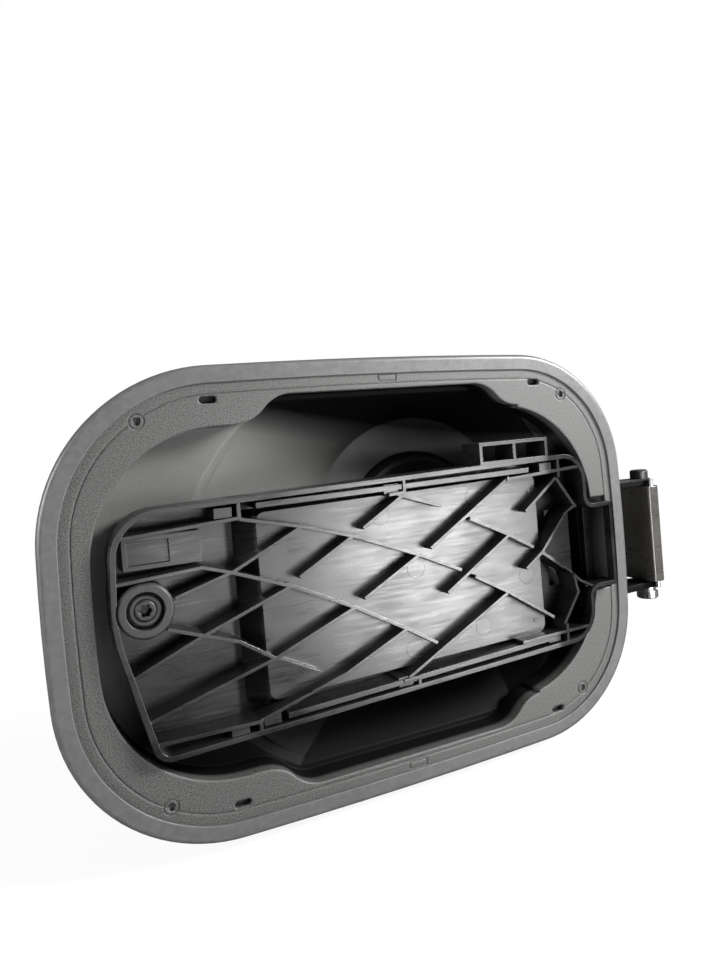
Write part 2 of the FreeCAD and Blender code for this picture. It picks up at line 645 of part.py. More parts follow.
def neck_boot():
    """Rubber boot: a lip under the floor opening, a raised ring and a funnel to the neck bore."""
    inner = "boot_bore_radius"
    ring = "(neck_hole_radius - boot_ring_inset)"
    edge = "neck_hole_radius + boot_lip"
    floor = "bowl_depth + pocket_wall"
    return turned("neck_boot", "XY_Plane", [
        (inner, floor + " - boot_ring_height / 2"),
        (ring + " - boot_thick", floor + " - boot_ring_height - boot_thick"),
        (ring, floor + " - boot_ring_height - boot_thick"),
        (ring + " + boot_thick", floor + " - pocket_wall"),
        ("neck_hole_radius - boot_thick / 4", floor),
        (edge, floor),
        (edge, floor + " + boot_thick"),
        (ring + " - boot_thick", floor + " + boot_thick"),
        (inner, floor + " + boot_ring_height / 2"),
    ], {"x": "neck_x", "z": "neck_z"})


# Hinge hardware.

def hinge_hardware():
    low = "barrel_bottom - ear_gap - ear_thick"
    high = "barrel_top + ear_gap + ear_thick"
    axis = {"x": "hinge_x", "y": "hinge_y"}
    grip = "pin_cap_grip"
    pin = turned("hinge_pin", "XZ_Plane", [
        ("0", low + " - pin_head_height"),
        ("pin_head_radius - pin_head_chamfer", low + " - pin_head_height"),
        ("pin_head_radius", low + " - pin_head_height + pin_head_chamfer"),
        ("pin_head_radius", low + " - pin_head_neck"),
        ("pin_head_radius - pin_head_step", low + " - pin_head_neck"),
        ("pin_head_radius - pin_head_step", low),
        ("pin_radius", low),
        ("pin_radius", high + " + " + grip),
        ("0", high + " + " + grip),
    ], axis)
    bore = "pin_radius + pin_clear"
    cap = turned("pin_cap", "XZ_Plane", [
        (bore, high),
        ("pin_cap_radius", high),
        ("pin_cap_radius", high + " + pin_cap_height - pin_cap_chamfer"),
        ("pin_cap_radius - pin_cap_chamfer", high + " + pin_cap_height"),
        ("0", high + " + pin_cap_height"),
        ("0", high + " + " + grip),
        (bore, high + " + " + grip),
    ], axis)
    bushes = []
    for label, start in (("upper_bush", "barrel_top - bush_length"), ("lower_bush", "barrel_bottom")):
        bushes.append(turned(label, "XZ_Plane", [
            (bore, start),
            (bore + " + bush_wall", start),
            (bore + " + bush_wall", start + " + bush_length"),
            (bore, start + " + bush_length"),
        ], axis))
    spring_rod = turned("spring_rod", "XZ_Plane", [
        ("0", "barrel_bottom - rod_stand"),
        ("rod_radius", "barrel_bottom - rod_stand"),
        ("rod_radius", "barrel_top + rod_stand"),
        ("0", "barrel_top + rod_stand"),
    ], {"x": "hinge_x", "y": "hinge_y - rod_offset"})
    return [pin, cap] + bushes + [spring_rod]


# Door carrier: ribbed tray, gooseneck arm, hinge barrel and holder loop in one moulding.

# Stiffening ribs: which end runs out free on the floor, and a run of (x, z) points from the front.
RIBS = [
    ("last", [(-71.1, 31.9), (-46.5, 26.0), (-23.9, 19.1), (6.6, 6.8), (27.3, -3.0)]),
    ("last", [(-86.9, 15.7), (-75.1, 11.8), (-52.4, 2.9), (-25.4, -10.4), (-2.2, -23.7), (12.1, -32.6)]),
    ("last", [(-101.7, -5.0), (-75.1, -14.8), (-61.3, -24.2), (-42.6, -34.0)]),
    ("last", [(-1.7, 33.9), (19.4, 26.5)]),
    ("last", [(33.7, 19.1), (53.9, 9.3), (67.7, 1.4)]),
    ("last", [(34.2, -7.0), (51.4, -16.8), (76.6, -33.1)]),
    ("none", [(83.5, 32.4), (94.3, 17.2)]),
    ("none", [(72.1, -1.5), (90.3, -14.8), (98.2, -21.7)]),
    ("none", [(-97.7, 5.8), (-75.1, 12.2), (-46.5, 25.5)]),
    ("none", [(-119.0, -22.5), (-90.8, -10.9), (-52.4, 2.9)]),
    ("none", [(-115.0, -39.0), (-61.3, -24.2), (-25.4, -10.2)]),
    ("none", [(-69.5, -47.0), (-31.8, -36.5), (-2.2, -23.7)]),
    ("first", [(-48.5, 5.8), (-23.9, 19.1)]),
    ("first", [(-20.9, -7.5), (6.6, 6.8)]),
    ("none", [(-3.0, -44.5), (51.0, -17.3)]),
    ("first", [(-19.0, 21.6), (0.5, 33.0)]),
    ("first", [(12.6, 8.8), (56.9, 35.4)]),
    ("first", [(19.4, -11.9), (54.3, 9.0)]),
    ("first", [(64.7, 18.6), (83.5, 32.4)]),
    ("first", [(62.8, -7.9), (72.6, -1.5), (87.4, 14.7), (94.3, 18.6)]),
    ("none", [(82.5, -37.5), (92.3, -23.7), (90.3, -14.8)]),
]

# Inner rim walls and box sides beside the skin's clips, as runs of (x, z) points.
INNER_WALLS = [
    [(-117.0, 30.0), (-71.1, 32.4), (-71.1, 39.5)],
    [(55.0, 34.4), (99.0, 36.6)],
    [(57.0, -41.4), (99.0, -40.8)],
    [(85.0, 42.0), (85.0, 32.5)],
    [(83.5, -37.5), (83.5, -46.5)],
    [(-119.0, 13.9), (-86.9, 15.7)],
    [(-112.0, -46.2), (-69.5, -47.0), (-69.5, -52.5)],
    [(-6.0, 34.2), (1.5, 34.4), (1.5, 41.0)],
    [(-6.0, -45.4), (1.5, -45.0), (1.5, -51.5)],
]

# Straight walls along the middle floor, between it and the clip channels.
BORDER_WALLS = [
    [(-64.0, 36.4), (68.0, 37.6)],
    [(-58.0, -47.6), (76.0, -42.8)],
]

# Snap tabs for the outer skin, as (x, z) centres beside the upper and lower rim.
TABS = [(-77.0, 35.0), (-4.2, 36.5), (78.5, 38.0), (-77.4, -49.2), (-64.4, -47.8), (-4.5, -46.0),
        (76.5, -43.0)]
TAB_SIZE = (7.0, 4.0)


# Sweep of the gooseneck and of its hollow, in degrees from the latch direction.
ARM_SWEEP = (-90.0, 40.0)
ARM_HOLLOW_SWEEP = (-78.0, 42.0)


def carrier_outline(inset):
    """Front outline of the tray with its short neck towards the hinge, drawn in by an even margin."""
    left = -dim("carrier_left") + inset
    right = dim("carrier_right") - inset
    neck_end = dim("hinge_x") - dim("arm_inner_radius") + dim("neck_lap")
    slope = (dim("carrier_top_right") - dim("carrier_top_left")) / (right - left)
    neck_root = dim("neck_root_round") + inset
    neck_tip = dim("neck_tip_round")
    return rounded_polygon([
        (left + dim("tray_end_lean"), dim("carrier_top_left") - inset, dim("tray_round_top_left") - inset),
        (left - dim("tray_end_bulge"), dim("tray_end_level"), dim("tray_end_round")),
        (left + dim("tray_foot_lean"), dim("carrier_low_left") + inset, dim("tray_round_low_left") - inset),
        (right, dim("carrier_low_right") + inset, dim("tray_round_low_right") - inset),
        (right, dim("neck_bottom") + inset, neck_root),
        (neck_end, dim("neck_bottom") + inset, neck_tip),
        (neck_end, dim("neck_top") - inset, neck_tip),
        (right, dim("neck_top") - inset, neck_root),
        (right, dim("carrier_top_right") + slope - inset, dim("tray_round_top_right") - inset),
    ])


def middle_outline(spread, inset):
    """Front outline of the raised middle floor at its top, or spread out down its flanks."""
    left = dim("step_end") - (dim("step_end") - dim("step_start")) * spread + inset
    right = dim("mid_end") + dim("mid_slope") * spread - inset
    top = dim("mid_top") + dim("mid_slope") * spread - inset
    low = dim("mid_low") - dim("mid_slope") * spread + inset
    skew = dim("mid_skew") / 2.0
    corner = dim("mid_corner")
    return rounded_polygon([
        (left, top - skew, corner), (left, low - skew, corner),
        (right, low + skew, corner), (right, top + skew, corner),
    ])


def middle_block(name, inset, drop):
    """Raised middle floor as a tapered block, or the hollow behind it."""
    return loft(name,
                sketch_on(name + "_top", middle_outline(0.0, inset), FRONT, {"y": "mid_floor + " + drop}),
                sketch_on(name + "_foot", middle_outline(1.0, inset), FRONT,
                          {"y": "left_floor + carrier_floor / 2 + " + drop}))


def arm_outline(inner, outer, sweep):
    """Plan of the gooseneck: a band of arc about the hinge axis, angles from the latch direction."""
    axis = V(dim("hinge_x"), dim("hinge_y"), 0)
    low_angle, high_angle = sweep

    def at(radius, degrees):
        angle = math.radians(degrees)
        return axis + V(-math.cos(angle), -math.sin(angle), 0) * radius

    middle = (low_angle + high_angle) / 2.0
    return [
        Part.Arc(at(inner, low_angle), at(inner, middle), at(inner, high_angle)),
        Part.LineSegment(at(inner, high_angle), at(outer, high_angle)),
        Part.Arc(at(outer, high_angle), at(outer, middle), at(outer, low_angle)),
        Part.LineSegment(at(outer, low_angle), at(inner, low_angle)),
    ]


def wall_outline(points, thick):
    """Front outline of a thin wall that follows a run of points, with mitred bends."""
    run = [V(x, z, 0) for x, z in points]
    steps = [unit(b - a) for a, b in zip(run, run[1:])]
    before = steps[:1] + steps
    after = steps + steps[-1:]
    left, right = [], []
    for point, first, second in zip(run, before, after):
        ahead = unit(first + second)
        stretch = 1.0 / math.cos(first.getAngle(second) / 2.0)
        side = V(-ahead.y, ahead.x, 0) * (thick / 2.0 * stretch)
        left.append(point + side)
        right.append(point - side)
    ring = left + right[::-1]
    return polygon([(p.x, p.y) for p in ring])


def end_ramp(name, end, inward):
    """Cutter that slopes the free end of a rib down to the floor, from its end point inwards."""
    along = unit(inward)
    across = V(0, 1, 0).cross(along)
    turn = FreeCAD.Rotation(along, V(0, 1, 0), across, "XYZ")
    wide = dim("rib_thick") * 3.0
    lead = 1.0
    top = dim("rim_front") - lead
    sketch = doc.addObject("Sketcher::SketchObject", name + "_sketch")
    sketch.addGeometry(polygon([(-lead, top), (dim("ramp_run"), top), (-lead, dim("mid_floor"))]), False)
    sketch.Placement = FreeCAD.Placement(end - across * (wide / 2.0), turn)
    ramp = doc.addObject("Part::Extrusion", name)
    ramp.Base = sketch
    ramp.DirMode = "Normal"
    ramp.Solid = True
    bind(ramp, "LengthFwd", "rib_thick * 3")
    return ramp


def lattice_ribs():
    """Diagonal ribs, each with its free end ramped."""
    ribs = []
    for index, (free, run) in enumerate(RIBS):
        name = "rib_%d" % index
        slab = prism(name, wall_outline(run, dim("rib_thick")), FRONT, "rim_front + rib_drop",
                     "left_floor + carrier_floor / 2 - rim_front - rib_drop")
        if free == "none":
            ribs.append(slab)
            continue
        end, following = (run[0], run[1]) if free == "first" else (run[-1], run[-2])
        end = V(end[0], 0, end[1])
        inward = V(following[0], 0, following[1]) - end
        ribs.append(cut(name + "_ramped", slab, end_ramp(name + "_ramp", end, inward)))
    return ribs


def upright_walls():
    """Inner walls, border walls and snap tabs that stand on the tray floor."""
    deep = "left_floor + carrier_floor / 2 - rim_front"
    walls = [prism("inner_wall_%d" % index, wall_outline(run, dim("rib_thick")), FRONT,
                   "rim_front + rib_drop / 4", deep)
             for index, run in enumerate(INNER_WALLS)]
    walls += [prism("border_wall_%d" % index, wall_outline(run, dim("border_thick")), FRONT,
                    "rim_front + rib_drop", deep + " - rib_drop")
              for index, run in enumerate(BORDER_WALLS)]
    tab_x, tab_z = TAB_SIZE
    for index, (x, z) in enumerate(TABS):
        walls.append(prism("tab_%d" % index, polygon([
            (x - tab_x / 2, z - tab_z / 2), (x + tab_x / 2, z - tab_z / 2),
            (x + tab_x / 2, z + tab_z / 2), (x - tab_x / 2, z + tab_z / 2),
        ]), FRONT, "rim_front + rib_drop * 2", deep + " - rib_drop * 2"))
    return walls


def latch_pad():
    """Stepped pad beside the latch end of the tray."""
    block = box("pad_block",
                ("pad_right - pad_left", "left_floor + carrier_floor / 2 - pad_face", "pad_high - pad_low"),
                ("pad_left", "pad_face", "pad_low"))
    recess = box("pad_recess",
                 ("pad_step_right - pad_left - pad_border", "pad_step * 2",
                  "pad_high - pad_low - 2 * pad_border"),
                 ("pad_left + pad_border", "pad_face - pad_step", "pad_low + pad_border"))
    return cut("latch_pad", block, recess)


def door_carrier():
    tray = prism("tray_outside", carrier_outline(0.0), FRONT, "rim_front",
                 "left_floor + carrier_floor - rim_front")
    trough = box("trough_outside",
                 ("hinge_x - arm_inner_radius - trough_start + carrier_wall",
                  "trough_floor + carrier_floor - rim_front", "neck_top - neck_bottom"),
                 ("trough_start - carrier_wall", "rim_front", "neck_bottom"))
    arm_height = "neck_top - neck_bottom"
    arm_band = prism("arm_band", arm_outline(dim("arm_inner_radius"), dim("arm_outer_radius"), ARM_SWEEP),
                     PLAN, "neck_bottom", arm_height)
    arm_limit = box("arm_limit", ("arm_outer_radius * 2", "arm_outer_radius * 3", arm_height),
                    ("hinge_x - arm_outer_radius - cutter_lead", "rim_front", "neck_bottom"))
    arm = common("arm_outside", [arm_band, arm_limit])
    plate = box("arm_plate",
                ("barrel_thick", "arm_outer_radius - arm_plate_short", arm_height),
                ("hinge_x - barrel_thick / 2", "hinge_y", "neck_bottom"))
    half = dim("barrel_thick") / 2.0
    near = dim("hinge_y") - dim("barrel_front")
    far = near + dim("barrel_deep")
    corner = dim("barrel_round")
    barrel = prism("barrel", rounded_polygon([
        (dim("hinge_x") - half, near, corner), (dim("hinge_x") + half, near, dim("barrel_nose")),
        (dim("hinge_x") + half, far, corner), (dim("hinge_x") - half, far, corner),
    ]), PLAN, "barrel_bottom", "barrel_top - barrel_bottom")
    loop_low = "(carrier_top_right - loop_root)"
    loop_block = box("loop_block", ("loop_right - loop_left", "loop_deep", "loop_top - " + loop_low),
                     ("loop_left", "rim_front", loop_low))
    loop_starts = ("loop_left + loop_wall", "(loop_left + loop_right + loop_wall) / 2")
    loop_spaces = [
        box("loop_space_%d" % index,
            ("(loop_right - loop_left - 3 * loop_wall) / 2", "loop_deep + 2 * cutter_lead",
             "loop_top - %s - 3 * loop_wall" % loop_low),
            (start, "rim_front - cutter_lead", loop_low + " + 2 * loop_wall"))
        for index, start in enumerate(loop_starts)]
    loop = cut("holder_loop", loop_block, fuse("loop_spaces", loop_spaces))
    lip = box("neck_lip",
              ("neck_lip_reach", "-neck_lip_back - rim_front", "neck_top - neck_bottom"),
              ("hinge_x - arm_inner_radius", "rim_front", "neck_bottom"))
    outside = fuse("carrier_outside", [tray, trough, arm, plate, barrel, loop, lip])

    tray_space = prism("tray_space", carrier_outline(dim("carrier_wall")), FRONT, "rim_front - cutter_lead",
                       "left_floor - rim_front + cutter_lead")
    trough_space = box("trough_space",
                       ("hinge_x - arm_inner_radius - trough_start - carrier_wall",
                        "trough_floor - rim_front", "neck_top - neck_bottom - 2 * carrier_wall"),
                       ("trough_start", "rim_front", "neck_bottom + carrier_wall"))
    arm_space = prism("arm_space",
                      arm_outline(dim("arm_inner_radius") + dim("arm_wall"),
                                  dim("arm_outer_radius") - dim("arm_wall"), ARM_HOLLOW_SWEEP),
                      PLAN, "neck_bottom + arm_wall", arm_height + " - 2 * arm_wall")
    shell = cut("carrier_shell", outside, fuse("carrier_spaces", [tray_space, trough_space, arm_space]))

    middle = middle_block("middle_floor", 0.0, "0")
    limits = prism("rib_limits", carrier_outline(dim("carrier_wall") / 2.0), FRONT, "rim_front",
                   "left_floor + carrier_floor - rim_front")
    lattice = fuse("lattice_slabs", lattice_ribs() + upright_walls() + [latch_pad()])
    striker_room = rod("striker_room", "striker_ring + striker_play * 2",
                       "left_floor - rim_front + 2 * cutter_lead",
                       {"x": "striker_x", "y": "rim_front - 2 * cutter_lead", "z": "striker_z"}, "y")
    standing = cut("lattice", common("lattice_in_tray", [lattice, limits]), trough_space)
    whole = fuse("carrier_whole", [shell, middle, standing])

    hollow = middle_block("middle_hollow", dim("mid_wall"), "carrier_floor")
    pad_hole = box("pad_hole", ("pad_left + carrier_left", "pad_face - rim_front - rib_drop * 3",
                                "pad_high - pad_low - 2 * pad_border"),
                   ("-carrier_left - cutter_lead", "rim_front + rib_drop * 3", "pad_low + pad_border"))
    bush_bore = rod("bush_bore", "pin_radius + pin_clear + bush_wall + press_play",
                    "barrel_top - barrel_bottom + 2 * cutter_lead",
                    {"x": "hinge_x", "y": "hinge_y", "z": "barrel_bottom - cutter_lead"}, "z")
    rod_bore = rod("rod_bore", "rod_radius + press_play", "barrel_top - barrel_bottom + 2 * cutter_lead",
                   {"x": "hinge_x", "y": "hinge_y - rod_offset", "z": "barrel_bottom - cutter_lead"}, "z")
    striker_hole = rod("striker_hole", "striker_bore", "left_floor * 2",
                       {"x": "striker_x", "y": "0", "z": "striker_z"}, "y")
    carrier = cut("door_carrier", whole, fuse("carrier_bores", [
        bush_bore, rod_bore, striker_hole, striker_room, hollow, pad_hole]))
    carrier.Label = "door_carrier"
    return carrier


# Striker: collar on the tray floor, adjuster sleeve and pin.

SOCKET_LOBES = 6


def star_outline():
    """Lobed driver socket about the striker's centre."""
    centre_x = dim("striker_x")
    centre_z = dim("striker_z")
    points = []
    for step in range(2 * SOCKET_LOBES):
        angle = math.pi * step / SOCKET_LOBES
        radius = dim("socket_radius") if step % 2 == 0 else dim("socket_inner")
        points.append((centre_x + radius * math.cos(angle), centre_z + radius * math.sin(angle)))
    return polygon(points)


def striker():
    place = {"x": "striker_x", "z": "striker_z"}
    face = "rim_front + striker_set_back"
    collar = turned("striker_collar", "XY_Plane", [
        ("striker_bore", face),
        ("striker_ring - collar_chamfer", face),
        ("striker_ring", face + " + collar_chamfer"),
        ("striker_ring", "left_floor"),
        ("striker_bore", "left_floor"),
    ], place)
    sleeve_out = "striker_bore - striker_play"
    sleeve_face = face + " + sleeve_set_back"
    sleeve_end = "left_floor + carrier_floor + sleeve_tail"
    sleeve = turned("striker_sleeve", "XY_Plane", [
        ("sleeve_bore", sleeve_face),
        (sleeve_out + " - sleeve_chamfer", sleeve_face),
        (sleeve_out, sleeve_face + " + sleeve_chamfer"),
        (sleeve_out, sleeve_end),
        ("sleeve_bore", sleeve_end),
    ], place)
    pin_out = "sleeve_bore - striker_play"
    pin_face = face + " + striker_head_back"
    shank = turned("striker_shank", "XY_Plane", [
        ("0", pin_face),
        (pin_out + " - striker_head_chamfer", pin_face),
        (pin_out, pin_face + " + striker_head_chamfer"),
        (pin_out, "striker_tail - striker_tip_long"),
        (pin_out + " - striker_tip_taper", "striker_tail"),
        ("0", "striker_tail"),
    ], place)
    socket = prism("striker_socket", star_outline(), FRONT, face, "socket_deep")
    pin = cut("striker_pin", shank, socket)
    pin.Label = "striker_pin"
    return [collar, sleeve, pin]


nodes = [pocket_housing(), perimeter_seal(), neck_boot(), door_carrier()]
nodes += hinge_hardware() + striker()
doc.recompute()

for item in doc.Objects:
    if "Invalid" in item.State or "Error" in item.State:
        raise RuntimeError("%s failed: %s" % (item.Name, item.State))
for node in nodes:
    if node.Shape.isNull() or not node.Shape.isValid():
        raise RuntimeError("%s has no valid shape" % node.Label)
    if len(node.Shape.Solids) != 1:
        raise RuntimeError("%s has %d solids" % (node.Label, len(node.Shape.Solids)))

os.makedirs("parts", exist_ok=True)
for node in nodes:
    node.Shape.exportStep("parts/%s.step" % node.Label)
    extent = node.Shape.BoundBox
    print("%-16s volume %9.0f  x %7.1f %7.1f  y %6.1f %6.1f  z %6.1f %6.1f" % (
        node.Label, node.Shape.Volume, extent.XMin, extent.XMax, extent.YMin, extent.YMax,
        extent.ZMin, extent.ZMax))
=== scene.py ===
import math

import bpy
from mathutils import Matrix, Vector


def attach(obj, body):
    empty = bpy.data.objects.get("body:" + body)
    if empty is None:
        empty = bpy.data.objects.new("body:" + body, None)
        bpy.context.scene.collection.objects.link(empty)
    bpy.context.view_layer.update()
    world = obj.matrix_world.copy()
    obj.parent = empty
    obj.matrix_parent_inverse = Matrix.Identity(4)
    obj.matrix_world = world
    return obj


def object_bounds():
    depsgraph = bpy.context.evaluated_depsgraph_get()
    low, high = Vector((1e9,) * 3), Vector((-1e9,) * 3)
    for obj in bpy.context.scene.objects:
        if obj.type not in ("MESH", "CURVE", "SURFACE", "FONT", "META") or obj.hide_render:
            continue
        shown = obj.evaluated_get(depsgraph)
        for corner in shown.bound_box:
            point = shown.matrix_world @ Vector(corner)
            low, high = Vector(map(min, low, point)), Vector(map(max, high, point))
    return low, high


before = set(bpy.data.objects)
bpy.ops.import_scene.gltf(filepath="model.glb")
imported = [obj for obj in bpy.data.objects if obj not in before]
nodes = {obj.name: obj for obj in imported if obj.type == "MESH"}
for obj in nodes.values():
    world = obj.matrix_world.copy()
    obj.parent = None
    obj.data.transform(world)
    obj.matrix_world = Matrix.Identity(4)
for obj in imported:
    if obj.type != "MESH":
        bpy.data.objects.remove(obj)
rest_low, rest_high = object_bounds()

# The viewpoint, in metres and degrees in the part's frame
CAMERA_AT = (-0.1446, -0.2741, 0.0600)
CAMERA_TURN = (88.57, 4.78, -25.30)
SENSOR_HEIGHT = 36.0
LENS = 27.0
SHIFT_DOWN = 0.0274
NEAREST_SEEN = 0.01

# The room: the floor in metres, how white it looks near the part, and the world's light along X
FLOOR_DROP = 0.004
FLOOR_SIZE = 6.0
FLOOR_TONE = 0.9
FLOOR_ROUGH = 0.9
FLOOR_GLOW = 0.92
FLOOR_FADE = (0.15, 0.5)
ROOM_SPREAD = (-0.6, 0.8)
ROOM_DARK = 0.02
ROOM_LIGHT = 0.16
WHITE = (1.0, 1.0, 1.0, 1.0)

# Fine grain of a moulding: how strongly it shows, its noise detail and the range that sets its roughness
GRAIN_STRENGTH = 0.45
GRAIN_DETAIL = 3.0
GRAIN_RANGE = (0.3, 0.7)
EDGE_SAMPLES = 6

# Where shade is painted black inside the pocket, away from its upper latch corner and under its roof,
# and light is painted paler on its inside faces, in metres in the part's frame
INSIDE_DEPTH = (0.0028, 0.006)
BACK_REACH = 0.1
OUTSIDE_EDGE = 0.005
CORNER_LEAN = 0.45
CORNER_EDGE = (0.000, 0.034)
ROOF_EDGE = (0.056, 0.068)
ROOF_LEAN = 0.15
# Painted shade: the black laid inside the pocket where its shadow falls
POCKET_SHADE_BLACK = (0.004, 0.004, 0.0045, 1.0)
# Painted light: the paler tone laid over the pocket's inside faces, and its share
POCKET_LIGHT_PALE = (0.105, 0.104, 0.100, 1.0)
POCKET_LIGHT_SHARE = 0.7
# Sheen of the grain, and the lower sheen where the shade is painted black
GRAINED_SHEEN = 0.5
INSIDE_SHEEN = 0.04

# The nylon's step at the latch end, its trough at the gooseneck and its barrel, in metres along the part
STEP_START = (-0.0750, -0.0735)
STEP_END = (-0.0645, -0.0630)
STEP_DEPTH = (-0.003, 0.0)
TROUGH_EDGE = (0.0765, 0.080)
TROUGH_END = (0.119, 0.123)
# Painted light: a paler tone on the barrel of the same nylon
BARREL_PAINTED_LIGHT = (0.040, 0.037, 0.033, 1.0)
NYLON_SHEEN = 0.75
MATT_SHEEN = 0.15

# The nylon's cloudy streaks and scratches: cycles per metre, noise detail and stretch along X, Y and Z
CLOUD = (45.0, 4.0, (1.0, 1.0, 1.6))
SCRATCH = (260.0, 3.0, (0.25, 1.0, 3.0))
SHEEN_RANGE = (0.12, 0.38)
SCRATCH_DEPTH = 0.00008
SCRATCH_STRENGTH = 0.3

# Drawn lines of the steel, as noise drawn out along Z, and its two tones
DRAWN_LINES = (400.0, 2.0, (1.0, 1.0, 0.05))
STEEL_TONES = ((0.42, 0.42, 0.43), (0.6, 0.6, 0.61))
STEEL_ROUGH = (0.22, 0.36)

# Sockets of a colour mix, which share their names with its other kinds
MIX_FIRST = 6
MIX_LAST = 7
MIX_RESULT = 2

# What a look's name adds to its material slot's name
LOOK = "_look"


def new_material(slot):
    """A node material with nothing but its output and a principled shader."""
    material = bpy.data.materials.new(slot + LOOK)
    material.use_nodes = True
    tree = material.node_tree
    return material, tree, tree.nodes["Principled BSDF"]


def add(tree, kind, **values):
    """A node of a kind, with its settings or its unlinked sockets set by name."""
    node = tree.nodes.new(kind)
    for key, value in values.items():
        if hasattr(node, key):
            setattr(node, key, value)
        else:
            node.inputs[key.replace("_", " ")].default_value = value
    return node


def ramp(tree, source, low, high, first, last):
    """Maps a value between two places onto two values, and holds it beyond them."""
    node = add(tree, "ShaderNodeMapRange")
    node.inputs["From Min"].default_value = low
    node.inputs["From Max"].default_value = high
    node.inputs["To Min"].default_value = first
    node.inputs["To Max"].default_value = last
    tree.links.new(source, node.inputs["Value"])
    return node.outputs["Result"]


def noise(tree, scale, detail, stretch=(1.0, 1.0, 1.0)):
    """Noise over the part's own coordinates, with a scale in cycles per metre."""
    place = add(tree, "ShaderNodeTexCoord")
    spread = add(tree, "ShaderNodeMapping")
    spread.inputs["Scale"].default_value = stretch
    tree.links.new(place.outputs["Object"], spread.inputs["Vector"])
    node = add(tree, "ShaderNodeTexNoise")
    node.inputs["Scale"].default_value = scale
    node.inputs["Detail"].default_value = detail
    tree.links.new(spread.outputs["Vector"], node.inputs["Vector"])
    return node.outputs["Fac"]


def two_tone(tree, source, dark, light, low=0.35, high=0.65):
    """A colour that wanders between two tones."""
    node = add(tree, "ShaderNodeValToRGB")
    node.color_ramp.elements[0].position = low
    node.color_ramp.elements[0].color = (*dark, 1.0)
    node.color_ramp.elements[1].position = high
    node.color_ramp.elements[1].color = (*light, 1.0)
    tree.links.new(source, node.inputs["Fac"])
    return node.outputs["Color"]


def soft_edges(tree, radius):
    """Normals that round the sharp edges off by a small radius."""
    node = add(tree, "ShaderNodeBevel", samples=EDGE_SAMPLES)
    node.inputs["Radius"].default_value = radius
    return node.outputs["Normal"]


def bump(tree, height, depth, strength, normal):
    """A relief of a depth in metres on top of other normals."""
    node = add(tree, "ShaderNodeBump")
    node.inputs["Strength"].default_value = strength
    node.inputs["Distance"].default_value = depth
    tree.links.new(height, node.inputs["Height"])
    tree.links.new(normal, node.inputs["Normal"])
    return node.outputs["Normal"]


def moulded(slot, dark, light, rough, grain, depth, edge, sheen=GRAINED_SHEEN):
    """A moulded plastic or rubber with a fine grain, light specks and softened edges."""
    material, tree, shader = new_material(slot)
    fine = noise(tree, grain, GRAIN_DETAIL)
    tree.links.new(two_tone(tree, fine, dark, light), shader.inputs["Base Color"])
    tree.links.new(ramp(tree, fine, *GRAIN_RANGE, *rough), shader.inputs["Roughness"])
    shader.inputs["Specular IOR Level"].default_value = sheen
    relief = bump(tree, fine, depth, GRAIN_STRENGTH, soft_edges(tree, edge))
    tree.links.new(relief, shader.inputs["Normal"])
    return material


def part_axes(tree, source="Object"):
    """The part's own X, Y and Z in metres, or those of its normal."""
    place = add(tree, "ShaderNodeTexCoord")
    axes = add(tree, "ShaderNodeSeparateXYZ")
    tree.links.new(place.outputs[source], axes.inputs["Vector"])
    return axes.outputs["X"], axes.outputs["Y"], axes.outputs["Z"]


def combine(tree, operation, first, second):
    """Two values, or a value and a number, joined by a sum, product or the like."""
    node = add(tree, "ShaderNodeMath", operation=operation)
    for socket, value in zip(node.inputs, (first, second)):
        if isinstance(value, float):
            socket.default_value = value
        else:
            tree.links.new(value, socket)
    return node.outputs["Value"]


def blended(tree, share, first, last):
    """A colour that turns into a plain tone by a share."""
    node = add(tree, "ShaderNodeMix", data_type="RGBA")
    tree.links.new(share, node.inputs["Factor"])
    tree.links.new(first, node.inputs[MIX_FIRST])
    node.inputs[MIX_LAST].default_value = last
    return node.outputs[MIX_RESULT]


def between(tree, source, start, end):
    """One between two places and nothing outside them, with soft ends."""
    begun = ramp(tree, source, *start, 0.0, 1.0)
    unfinished = ramp(tree, source, *end, 1.0, 0.0)
    return combine(tree, "MULTIPLY", begun, unfinished)


def facing_inward(tree, along, up):
    """One on faces turned towards the pocket's axis or its mouth, nothing on the housing's outside."""
    lean_along, lean_deep, lean_up = part_axes(tree, "Normal")
    sideways = combine(tree, "ADD", combine(tree, "MULTIPLY", along, lean_along),
                       combine(tree, "MULTIPLY", up, lean_up))
    outward = combine(tree, "ADD", sideways, combine(tree, "MULTIPLY", lean_deep, BACK_REACH))
    return ramp(tree, outward, 0.0, OUTSIDE_EDGE, 1.0, 0.0)


def paint_pocket_shade_and_light(material):
    """Paints shade black inside the pocket, away from its upper latch corner and under its roof, with
    less sheen there, and paints light as a paler tone on the inside faces, which shows in that corner.
    """
    tree = material.node_tree
    shader = tree.nodes["Principled BSDF"]
    along, deep, up = part_axes(tree)
    past_edge = ramp(tree, deep, *INSIDE_DEPTH, 0.0, 1.0)
    inside = combine(tree, "MULTIPLY", past_edge, facing_inward(tree, along, up))
    corner = combine(tree, "SUBTRACT", up, combine(tree, "MULTIPLY", along, CORNER_LEAN))
    away = ramp(tree, corner, *CORNER_EDGE, 1.0, 0.0)
    under_roof = combine(tree, "ADD", up, combine(tree, "MULTIPLY", along, ROOF_LEAN))
    roof = ramp(tree, under_roof, *ROOF_EDGE, 0.0, 1.0)
    # Share of painted shade: inside faces away from the upper latch corner, and under the roof
    share = combine(tree, "MULTIPLY", inside, combine(tree, "MAXIMUM", away, roof))
    # Painted light: a paler tone over the inside faces
    pale = combine(tree, "MULTIPLY", inside, POCKET_LIGHT_SHARE)
    grained_tone = shader.inputs["Base Color"].links[0].from_socket
    tone = blended(tree, pale, grained_tone, POCKET_LIGHT_PALE)
    tree.links.new(blended(tree, share, tone, POCKET_SHADE_BLACK), shader.inputs["Base Color"])
    sheen = ramp(tree, share, 0.0, 1.0, GRAINED_SHEEN, INSIDE_SHEEN)
    tree.links.new(sheen, shader.inputs["Specular IOR Level"])


